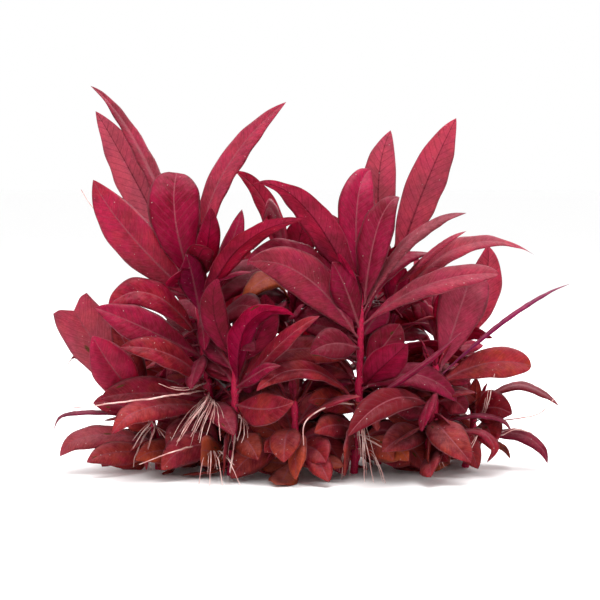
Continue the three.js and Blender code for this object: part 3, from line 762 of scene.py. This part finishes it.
def bladeTree():
    tree, given = startGeometry("leafBlade", blade)
    line = smoothLine(tree, given["Geometry"], "Count", given["Rows"])
    line = stored(tree, line, "along", result(tree, "GeometryNodeSplineParameter", output="Factor"))
    skin = swept(tree, line, bladeLoop(tree, given["Columns"]))

    across, face, along = named(tree, "across"), named(tree, "face"), named(tree, "along")
    width, length, seed = named(tree, "width"), named(tree, "length"), named(tree, "seed")
    bare, torn, centre = named(tree, "bare"), named(tree, "torn"), named(tree, "centre", "FLOAT_VECTOR")
    side, top = named(tree, "side", "FLOAT_VECTOR"), named(tree, "top", "FLOAT_VECTOR")
    far = across.absolute()  # 0 at the midrib and 1 at the edge
    share = ((along - bare) / (1 - bare)).atLeast(0.0) * (1 - torn)  # 0 at the blade's start, 1 at its tip
    opened = (share * 6).atMost(1.0) * ((1 - along) * 5).atMost(1.0)  # relief dies away at both ends
    wide = (width / given["Full Width"]).atMost(1.0)

    narrowing = (1 - share).atLeast(0.0) ** named(tree, "tipPower")
    spread = width / 2 * share ** outline["basePower"] * narrowing / named(tree, "peak")
    stalk = given["Stalk Width"] / 2 * wide ** 0.4 * (1 - share) ** 9
    turn = along * length / given["Ripple Spacing"] * math.tau + seed * 40 + across * 1.3
    half = (spread * (turn.sine() * given["Outline Ripple"] + 1)).atLeast(stalk)
    away = far * half

    spot = centre.scaled(given["Uneven Scale"]).moved(joined(tree, seed * 31, across * 1.6))
    uneven = noiseAt(tree, spot, 1.0, 1.0) - 0.5
    wave = (turn * 1.13 + seed * 9).sine() * 0.55 + uneven * 2.2
    ripple = wave * given["Ripple"] * far**2.4 * opened * wide
    count = (share * length * (1 - bare) - away * given["Vein Slant"]) / given["Vein Spacing"] + seed
    bulge = (count * math.pi).sine().absolute() ** 0.7 - 0.6
    bulge = bulge * given["Vein Relief"] * (1 - far**3) * (far * 6).atMost(1.0) * opened
    lift = named(tree, "fold") * half * (far * 1.5 - far * far * 0.5)
    ridge = ((away / given["Rib Width"]) ** 2 * -1).maths("EXPONENT") * (1.1 - share)
    rib = ridge * given["Rib Height"] * (face - 1) * 0.5 - ridge * given["Groove"]  # a ridge below
    slab = given["Edge Thickness"] + (given["Middle Thickness"] - given["Edge Thickness"]) * (1 - far * far)
    slab = slab * (1 - along**14) + given["Stalk Thickness"] * (1 - share) ** 14
    rounded = face * slab * 0.5 * (1 - far * far).atLeast(0.0) ** 0.5
    curl = ((far - 0.5) * 2).atLeast(0.0) ** 2 * half * given["Edge Curl"] * opened
    height = lift - curl + bulge + ripple + rib * opened + rounded
    notch = torn * (1 - (far * 1.6).atMost(1.0)) * along**8 * length * given["Notch"]
    places = centre.moved(side.scaled(across * half)).moved(top.scaled(height))
    places = places.moved(side.vectors("CROSS_PRODUCT", top).scaled(notch))

    surface = {
        "blade": (across * 0.5 + 0.5, along),
        "veins": (count, away / mm),
        "kind": (named(tree, "age"), named(tree, "glow")),
        "tint": (named(tree, "purple"), named(tree, "pale")),
        "mark": (named(tree, "spotX"), named(tree, "spotY")),
    }
    for name, (x, y) in surface.items():
        skin = storedPair(tree, skin, name, x, y)
    skin = settled(tree, skin, places)
    skin = result(tree, "GeometryNodeMergeByDistance", {"Geometry": skin, "Distance": given["Weld"]})
    skin = dressed(tree, skin, leafTop)
    below = {"Geometry": skin, "Selection": face.maths("LESS_THAN", 0.0), "Material": leafUnder}
    return finishTree(tree, {"Geometry": result(tree, "GeometryNodeSetMaterial", below)})


bladeGrowth = bladeTree()
leafFloats = ("width", "length", "fold", "seed", "age", "glow", "purple", "pale", "bare", "torn", "tipPower",
              "peak", "spotX", "spotY")


# How single leaves differ from their neighbours: their age, which turns them brown, their glow, which is
# painted brightness for light that comes through, and a pale painted sheen on top, which is left to chance
# where it isn't given.
leafLooks = {
    "left_tall": {
        1: (0.15, 0.62, 0.10), 2: (0.0, 0.34, 0.0), 3: (0.1, 0.30, 0.14), 4: (0.15, 0.95, 0.75),
        5: (0.1, 0.65, 0.20), 6: (0.1, 0.72, 0.15), 7: (0.30, 0.48, -0.08), 8: (0.05, 0.42),
        9: (0.45, 0.36, -0.1), 10: (0.35, 0.30),
    },
    "centre_tall": {
        1: (0.0, 0.55, 0.22), 2: (0.16, 0.50, 0.10), 3: (0.1, 0.42, 0.0), 4: (0.0, 0.85),
        5: (0.0, 0.28), 6: (0.1, 0.20), 7: (0.15, 0.52, 0.18), 12: (0.5, 0.3, -0.12),
    },
    "right_tall": {1: (0.15, 0.60, 0.55), 2: (0.15, 0.75, 0.50), 3: (0.2, 0.72, 0.3)},
    "right_back": {1: (0.15, 0.85, 0.45)},
    "right_front": {1: (0.0, 0.62, 0.22), 2: (0.75, 0.62), 3: (0.60, -0.35, -0.2), 4: (0.85, 0.40)},
    "right_low": {1: (0.55, 0.15)},
    "left_low": {1: (0.2, 0.62, 0.35), 2: (0.05, 0.85, 0.1)},
    "left_back": {4: (0.75, 0.05, 0.0)},
    "left_inner": {1: (0.0, 0.60, -0.12), 2: (0.35, 0.15, -0.12), 3: (0.55, 0.38, -0.12), 4: (0.1, 0.35)},
    "middle_back": {1: (0.0, 0.9, 0.3)},
}
leafMarks = {"left_low_1": {"spotX": 0.30, "spotY": 0.63}}  # where a leaf has an olive spot
smallLooks = {  # small leaves, each named by where the eye sees its tip; purple is a cool tint
    (134, 92.5): {"age": 0.0, "glow": 0.6, "purple": 0.45},
    (78, 69): {"age": 0.0, "glow": 0.20, "purple": 0.12},
    (13, 104): {"age": 0.0, "glow": 0.22},
    (-60, 108): {"age": 0.0, "glow": 0.55, "purple": 0.08},
    (-31.5, 83): {"age": 1.3, "glow": 0.5, "pale": 0.04},
    (127, 31.5): {"age": 0.6, "glow": 0.12, "pale": 0.12},
    (103.5, 18): {"age": 0.1, "glow": 0.10, "purple": 0.1},
    (80, 119.5): {"age": 0.15, "glow": 0.85, "pale": 0.2},
    (80, 128.5): {"age": 0.2, "glow": 0.35, "pale": 0.3},
    (121.5, 2.5): {"age": 0.35, "glow": 0.05, "purple": 0.1},
    (-127, 18.5): {"age": 0.1, "glow": 0.10, "purple": 0.2},
    (-124, 6): {"age": 0.55, "glow": 0.5, "pale": 0.25},
    (-110.5, 3): {"age": 0.7, "glow": 0.5, "pale": 0.1},
}
oldBelow = {"height": 52, "share": 1.1, "spread": 0.4, "most": 1.3}
spots = {"share": 0.3, "away": 9}
tipReach = 3  # a small leaf is the one meant if its tip is nearer than this many millimetres


def listedLooks(line, name):
    if name:
        stem, number = name.rsplit("_", 1)
        looks = leafLooks.get(stem, {}).get(int(number), ())
        return {**dict(zip(("age", "glow", "pale"), looks)), **leafMarks.get(name, {})}
    found = {}
    for spot, looks in smallLooks.items():
        if "tip" in line and np.hypot(*(line["tip"] - spot)) < tipReach:
            found.update(looks)
    return found


def looksOf(line, chance, name=None):
    # Leaves from low on a stem are older: browner and duller.
    age = oldBelow["share"] - line["at"] / oldBelow["height"] + chance.uniform(-1, 1) * oldBelow["spread"]
    spotted = chance.random() < spots["share"] * (age > 0)
    looks = {
        "age": min(max(age, 0), oldBelow["most"]),
        "glow": chance.uniform(0.1, 0.6),
        "seed": chance.uniform(0, 1),
        "purple": 0.0,
        "pale": chance.uniform(0, 0.06),
        "spotX": chance.uniform(0.2, 0.8),
        "spotY": chance.uniform(0.3, 0.9) - (0 if spotted else spots["away"]),
    }
    return {**line, **looks, **listedLooks(line, name)}


upright = np.array([0, 0, 1])


def plainLeaf(points, sides, width, length, height, fold=0.12):
    # A leaf that the frame doesn't have, from its middle line and the directions across it.
    tangents = np.gradient(points, axis=0)
    return {
        "points": points,
        "side": np.array(sides),
        "top": np.array([unit(np.cross(s, t)) for s, t in zip(sides, tangents)]),
        "width": width,
        "length": length,
        "at": height,
        "bare": 0.1,
        "fold": fold,
        "torn": 0.0,
        "tipPower": outline["tipPower"],
        "peak": peak(outline["tipPower"]),
    }


def heading(turn):
    return np.array([math.cos(turn), math.sin(turn), 0])


def tilted(out, angle):
    return out * math.cos(angle) + upright * math.sin(angle)


# Short leaves that fill the inside of the bush, between those that reach its outside.
inner = {"step": 2.5, "first": 5.0, "belowTop": 12.0, "shortest": 18.0, "longest": 42.0, "widthShare": 0.36,
         "turn": 2.4, "rise": (-0.5, 0.75), "riseAtTop": 0.5, "drop": 0.9, "roll": 0.9, "tipClear": 1.2,
         "baseClear": 2.7}
mostToFront = {"centre_tall": 0.4, "left_inner": 0.5, "right_low": 0.3}  # so that these stems show


def innerLeaf(stem, height, out, chance):
    length = chance.uniform(inner["shortest"], inner["longest"])
    rise = chance.uniform(*inner["rise"]) + inner["riseAtTop"] * height * mm / stemLines[stem][2][2]
    points = [onStem(stem, height * mm)]
    for share in (0.25, 0.5, 0.75, 1.0):
        reached = points[-1] + tilted(out, rise - inner["drop"] * share) * length / 4 * mm
        clear = inner["tipClear"] + (inner["baseClear"] - inner["tipClear"]) * (1 - share)
        reached[2] = max(reached[2], clear * mm)
        points.append(reached)
    points = np.array(points)
    roll = chance.uniform(-1, 1) * inner["roll"]
    level = unit(np.cross(out, upright))
    tangents = np.gradient(points, axis=0)
    sides = [unit(level * math.cos(roll) + unit(np.cross(level, t)) * math.sin(roll)) for t in tangents]
    return plainLeaf(points, sides, length * inner["widthShare"] * mm, length * mm, height)


def innerLeaves(stem, chance):
    leaves = []
    height, turn = inner["first"], chance.uniform(0, math.tau)
    while height < stemLines[stem][2][2] / mm - inner["belowTop"]:
        if math.sin(turn) < -mostToFront.get(stem, 1):
            turn = -turn
        leaves.append(innerLeaf(stem, height, heading(turn), chance))
        height += inner["step"]
        turn += inner["turn"]
    return leaves


# Leaves that close the gaps deep in the bush: the height where one leaves its stem, its tip as the eye
# sees it, and its width.
gapLeaves = {
    "left_tall": [
        (76, (-60, -24, 108), 15), (64, (-70, 8, 75), 15), (52, (-62, 6, 53), 13), (50, (-62, 8, 73), 14),
        (48, (-93, -6, 69), 14), (40, (-72, 6, 44), 13), (24, (-79, -4, 27), 13), (6, (-70, -20, 3), 13),
    ],
    "left_inner": [
        (50, (-52, -6, 66), 13), (44, (-51, -10, 57), 14), (40, (-26, -6, 63), 13),
        (30, (-18, -8, 26), 12),
    ],
    "left_low": [
        (30, (-97, 6, 75), 13), (28, (-107, -8, 33), 14), (20, (-64, -8, 26), 13),
        (18, (-92, -6, 27), 13), (8, (-100, -14, 2), 14),
    ],
    "middle_front": [
        (33, (-22, -12, 42), 13), (30, (5, -10, 30), 12), (24, (8, -18, 38), 13),
        (18, (-13, -14, 34), 12), (17, (-28, -22, 22), 13), (16, (9, -16, 22), 13),
        (6, (-25, -26, 2), 13),
    ],
    "middle_back": [
        (84, (-28, -6, 88), 17), (78, (-16, 6, 84), 13), (76, (0, 12, 92), 13), (74, (3, 8, 77), 13),
        (70, (-22, 4, 88), 14), (58, (8, 10, 52), 14), (46, (-26, 10, 46), 13),
    ],
    "centre_tall": [
        (70, (13, -30, 104), 17), (66, (41, -2, 82), 13), (64, (-3, -2, 73), 14), (60, (8, 0, 66), 13),
        (46, (5, -6, 53), 15), (44, (-3, -2, 41), 13), (30, (16, -4, 48), 12), (7, (9, -24, 3), 13),
    ],
    "right_tall": [
        (78, (50, 6, 101), 12), (62, (29, 6, 82), 14), (48, (23, 4, 75), 13), (44, (26, 6, 41), 13),
        (34, (60, 4, 38), 13),
    ],
    "right_back": [(62, (58, 26, 82), 12), (60, (51, 18, 89), 12)],
    "right_front": [
        (44, (83, -4, 46), 11), (38, (43, -8, 41), 14), (36, (86, 0, 36), 12), (24, (40, -18, 27), 14),
        (24, (54, -6, 45), 12), (20, (73, -8, 39), 12), (8, (37, -24, 4), 13), (6, (72, -26, 2), 12),
    ],
}
gapShape = {"arch": 0.16, "facing": (0, -0.8, 0.6)}


def gapLeaf(stem, height, tip, width):
    start, end = onStem(stem, height * mm), seen(*tip)
    length = np.linalg.norm(end - start)
    middle = (start + end) / 2 + upright * length * gapShape["arch"]
    points = np.array([bezier(start, middle, end, share) for share in np.linspace(0, 1, 5)])
    sides = [unit(np.cross(t, gapShape["facing"])) for t in np.gradient(points, axis=0)]
    return {**plainLeaf(points, sides, width * mm, length, height), "tip": np.array((tip[0], tip[2]))}


# Young leaves that still stand close round a stem's tip.
bud = {"leaves": 5, "below": 5.0, "shortest": 9.0, "longest": 17.0, "widthShare": 0.30, "turn": 2.4,
       "rise": (0.75, 1.3), "bends": (-0.3, 0, 0.3, 0.6), "fold": 0.3}


def budLeaves(stem, chance):
    leaves = []
    turn = chance.uniform(0, math.tau)
    for index in range(bud["leaves"]):
        height = stemLines[stem][2][2] / mm - bud["below"] * (1 - index / bud["leaves"])
        length = chance.uniform(bud["shortest"], bud["longest"])
        rise = chance.uniform(*bud["rise"])
        out = heading(turn)
        steps = [np.zeros(3)] + [tilted(out, rise - bend) * length / 4 * mm for bend in bud["bends"]]
        points = onStem(stem, height * mm) + np.cumsum(steps, axis=0)
        sides = [unit(np.cross(out, upright))] * len(points)
        width = length * bud["widthShare"] * mm
        leaves.append(plainLeaf(points, sides, width, length * mm, height, bud["fold"]))
        turn += bud["turn"]
    return leaves


def growBlades(name, lines, sizes):
    return runTree(name, lineMesh(name, lines, leafFloats, ("side", "top")), bladeGrowth, {**blade, **sizes})


chance = random.Random(7)
for node, line in ownLeaves.items():
    name = node.split("_", 1)[1]
    piece = growBlades("blade_" + name, [looksOf(line, chance, name)], {})
    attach(piece, "root")
    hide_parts(node)
for stem, (leaves, _) in growth.items():
    lines = leaves + innerLeaves(stem, chance)
    lines += [gapLeaf(stem, *row) for row in gapLeaves.get(stem, [])]
    lines += budLeaves(stem, chance)
    piece = growBlades("small_leaves_" + stem, [looksOf(line, chance) for line in lines], smallBlade)
    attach(piece, "root")
    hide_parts("stem_" + stem)
print("leaves have grown")


# stems: round, a little swollen where leaves leave them, and cut off flat at the ground
stemSkin = {"Step": 1.2 * mm, "Sides": 14, "Ridges": 6, "Ridge": 0.09 * mm, "Collar": 0.32,
            "Uneven Scale": 160.0, "Streak Length": 10.0 * mm}


def stemTree():
    tree, given = startGeometry("stem", stemSkin)
    line = smoothLine(tree, given["Geometry"], "Length", given["Step"])
    line = stored(tree, line, "along", result(tree, "GeometryNodeSplineParameter", output="Length"))
    turned = result(tree, "GeometryNodeInputIndex") / given["Sides"]
    loop = stored(tree, circle(tree, given["Sides"]), "around", turned)
    skin = swept(tree, line, loop)
    ridges = (named(tree, "around") * given["Ridges"] * math.tau).sine() * given["Ridge"]
    uneven = noiseAt(tree, named(tree, "centre", "FLOAT_VECTOR"), given["Uneven Scale"], 2.0) - 0.5
    radius = named(tree, "thick") * (named(tree, "swell") * given["Collar"] + 1)
    radius = radius + ridges + uneven * given["Ridge"] * 3
    along = named(tree, "along") / given["Streak Length"]
    skin = storedPair(tree, skin, "blade", named(tree, "around"), along)
    return finishTree(tree, {"Geometry": dressed(tree, widened(tree, skin, radius), redStem)})


def swelling(height, collars):
    reach = stemShape["collarHeight"] * mm
    return min(sum(math.exp(-(((height - z) / reach) ** 2)) for z in collars), stemShape["mostSwelling"])


def stemPath(stem):
    foot, _, top = stemLines[stem]
    leaves = growth[stem][0] + [line for node, line in ownLeaves.items() if node.startswith("leaf_" + stem)]
    collars = [line["at"] * mm for line in leaves]
    heights = np.linspace(0, top[2], max(int(top[2] / (stemShape["step"] * mm)), stemShape["fewest"]))
    tip = top + upright * stemShape["tipHeight"] * mm
    points = np.array([foot * (1, 1, 0), *(onStem(stem, z) for z in heights[1:]), tip])
    share = points[:, 2] / tip[2]
    radius = np.interp(share, (0, 1), (stemShape["footRadius"], stemShape["topRadius"])) * mm
    radius[-1] *= stemShape["tipShare"]
    return {"points": points, "thick": radius, "swell": np.array([swelling(p[2], collars) for p in points])}


stemGrowth = stemTree()
for stem in stemEnds:
    lines = lineMesh("stem", [stemPath(stem)], ("thick", "swell"))
    piece = runTree("shoot_" + stem, lines, stemGrowth, stemSkin)
    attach(piece, "root")
    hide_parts("stem_" + stem)
print("stems have grown")


# roots: pale threads from the lower nodes, each with a few finer ones beside it
rootSkin = {"Step": 1.0 * mm, "Sides": 6, "Bend": 1.1 * mm, "Bend Scale": 90.0, "Narrowing": 0.55}
rootShape = {"radius": 0.30, "finest": 0.14, "companions": 2, "spread": 4.0, "lowest": 0.4, "longest": 53.0,
             "loneRadius": 0.42}

# Roots that hang in front of the leaves: the height where one leaves its stem, then the places that it
# passes, each x, depth and height as the eye sees them.
frontRoots = {
    "left_tall": [
        (44, (-58, -30, 40), (-66, -40, 40), (-74, -44, 43)),
        (39, (-49, -24, 36), (-56, -40, 26), (-62, -46, 17)),
        (38, (-50, -24, 34), (-58, -42, 24), (-65, -46, 13.5)),
        (37, (-48, -24, 34), (-54, -42, 24), (-58, -46, 16)),
        (36, (-47, -24, 33), (-51, -42, 23), (-53.5, -47, 13)),
        (35, (-46, -24, 33), (-48, -40, 24), (-50, -46, 17)),
        (34, (-45, -24, 32), (-44, -40, 24), (-43, -46, 14)),
        (13, (-49, -32, 10), (-52, -46, 4), (-54, -50, -8.3)),
        (12, (-48, -32, 10), (-48, -46, 4), (-48.5, -54, -9)),
        (11, (-46, -32, 9), (-44, -46, 4), (-42, -55, -9.2)),
        (10, (-44, -32, 9), (-39, -46, 4), (-33, -54, -9)),
    ],
    "left_inner": [
        (30, (-33, -30, 26), (-33, -38, 20), (-34.5, -42, 14)),
        (29, (-32, -30, 25), (-31, -38, 18), (-32.5, -42, 13)),
    ],
    "left_low": [
        (26, (-78, -22, 23), (-83, -30, 17), (-87, -34, 10)),
        (24, (-76, -22, 21), (-78, -32, 15), (-80, -36, 8)),
        (22, (-74, -20, 20), (-71, -30, 16), (-68, -34, 10)),
    ],
    "centre_tall": [
        (28, (27, -26, 26), (28.5, -38, 12), (29.5, -42, -6.8)),
        (26, (28, -26, 24), (31, -38, 10), (34, -44, -7.1)),
        (19, (28, -26, 17), (33, -36, 14), (38, -40, 11)),
        (12, (30, -24, 10), (35, -36, 6), (40, -46, -7.5)),
        (13, (22, -26, 11), (19, -32, 7), (18, -36, -5.8)),
    ],
    "right_low": [
        (22, (90, -14, 28), (93, -22, 40), (94.5, -26, 48)),
        (20, (88, -22, 20), (86, -30, 16), (82, -34, 8)),
        (11, (98, -24, 17), (106, -30, 20), (117, -26, 17)),
    ],
}
loneRoots = {  # the same for roots that have no finer ones beside them
    "left_tall": [
        (90, (-95, -10, 125), (-106, -12, 131), (-112, -12, 140)),
        (14, (-58, -34, 11), (-68, -46, 8), (-84, -50, 2)),
    ],
}


def rootTree():
    tree, given = startGeometry("root", rootSkin)
    line = smoothLine(tree, given["Geometry"], "Length", given["Step"])
    share = result(tree, "GeometryNodeSplineParameter", output="Factor")
    spot = position(tree).scaled(given["Bend Scale"]).moved(joined(tree, named(tree, "seed") * 50))
    drift = noiseAt(tree, spot, 1.0, 2.0, "Color").vectors("SUBTRACT", (0.5, 0.5, 0.5))
    drift = drift.scaled(given["Bend"] * 4 * share * (1 - share) * 2)
    line = result(tree, "GeometryNodeSetPosition", {"Geometry": line, "Offset": drift})
    line = stored(tree, line, "thick", named(tree, "thick") * (1 - share**3 * given["Narrowing"]))
    skin = widened(tree, swept(tree, line, circle(tree, given["Sides"])), named(tree, "thick"))
    return finishTree(tree, {"Geometry": dressed(tree, skin, paleRoot)})


def hangingRoot(stem, first, *places):
    return np.array([onStem(stem, first * mm), *(seen(*spot) for spot in places)])


def isLong(path):
    return np.linalg.norm(np.diff(path, axis=0), axis=1).sum() > rootShape["longest"] * mm


def finerRoot(path, radius, chance):  # one that starts with another and leaves it sideways
    reach = chance.uniform(0.55, 1.0)
    aside = np.array([chance.uniform(-1, 1), chance.uniform(-1, 1), chance.uniform(-0.3, 0.6)])
    steps = np.linspace(0, reach, len(path))
    whole = np.linspace(0, 1, len(path))
    points = np.stack([np.interp(steps, whole, path[:, axis]) for axis in range(3)], axis=1)
    points += np.outer(steps, aside * rootShape["spread"] * mm)
    points[:, 2] = np.maximum(points[:, 2], rootShape["lowest"] * mm)
    finer = chance.uniform(rootShape["finest"], radius * 0.7) * mm
    return {"points": points, "thick": finer, "seed": chance.random()}


def rootLines(roots, radius, companions, chance):
    lines = []
    for path in roots:
        lines.append({"points": path, "thick": radius * mm, "seed": chance.random()})
        lines += [finerRoot(path, radius, chance) for _ in range(companions)]
    return lines


rootGrowth = rootTree()
for stem, (_, roots) in growth.items():
    if roots:
        bunched = [path for path in roots if not isLong(path)]
        bunched += [hangingRoot(stem, *row) for row in frontRoots.get(stem, [])]
        alone = [path for path in roots if isLong(path)]
        alone += [hangingRoot(stem, *row) for row in loneRoots.get(stem, [])]
        lines = rootLines(bunched, rootShape["radius"], rootShape["companions"], chance)
        lines += rootLines(alone, rootShape["loneRadius"], 0, chance)
        piece = runTree("roots_" + stem, lineMesh("root", lines, ("thick", "seed")), rootGrowth, rootSkin)
        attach(piece, "root")
        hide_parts("stem_" + stem)
print("roots have grown")


# the pale floor that the plant stands on
floorLook = {"half": 12.0, "below": 0.1 * mm, "colour": (0.99, 0.99, 0.99, 1), "roughness": 0.9}


def paleFloor():
    material = bpy.data.materials.new("paleFloor")
    material.use_nodes = True
    skin = material.node_tree.nodes["Principled BSDF"]
    skin.inputs["Base Color"].default_value = floorLook["colour"]
    skin.inputs["Roughness"].default_value = floorLook["roughness"]
    mesh = bpy.data.meshes.new("floor")
    half, height = floorLook["half"], -floorLook["below"]
    corners = [(-half, -half, height), (half, -half, height), (half, half, height), (-half, half, height)]
    mesh.from_pydata(corners, [], [(0, 1, 2, 3)])
    mesh.materials.append(material)
    floor = bpy.data.objects.new("floor", mesh)
    bpy.context.scene.collection.objects.link(floor)


paleFloor()
bpy.context.view_layer.update()
print("the bush is whole")
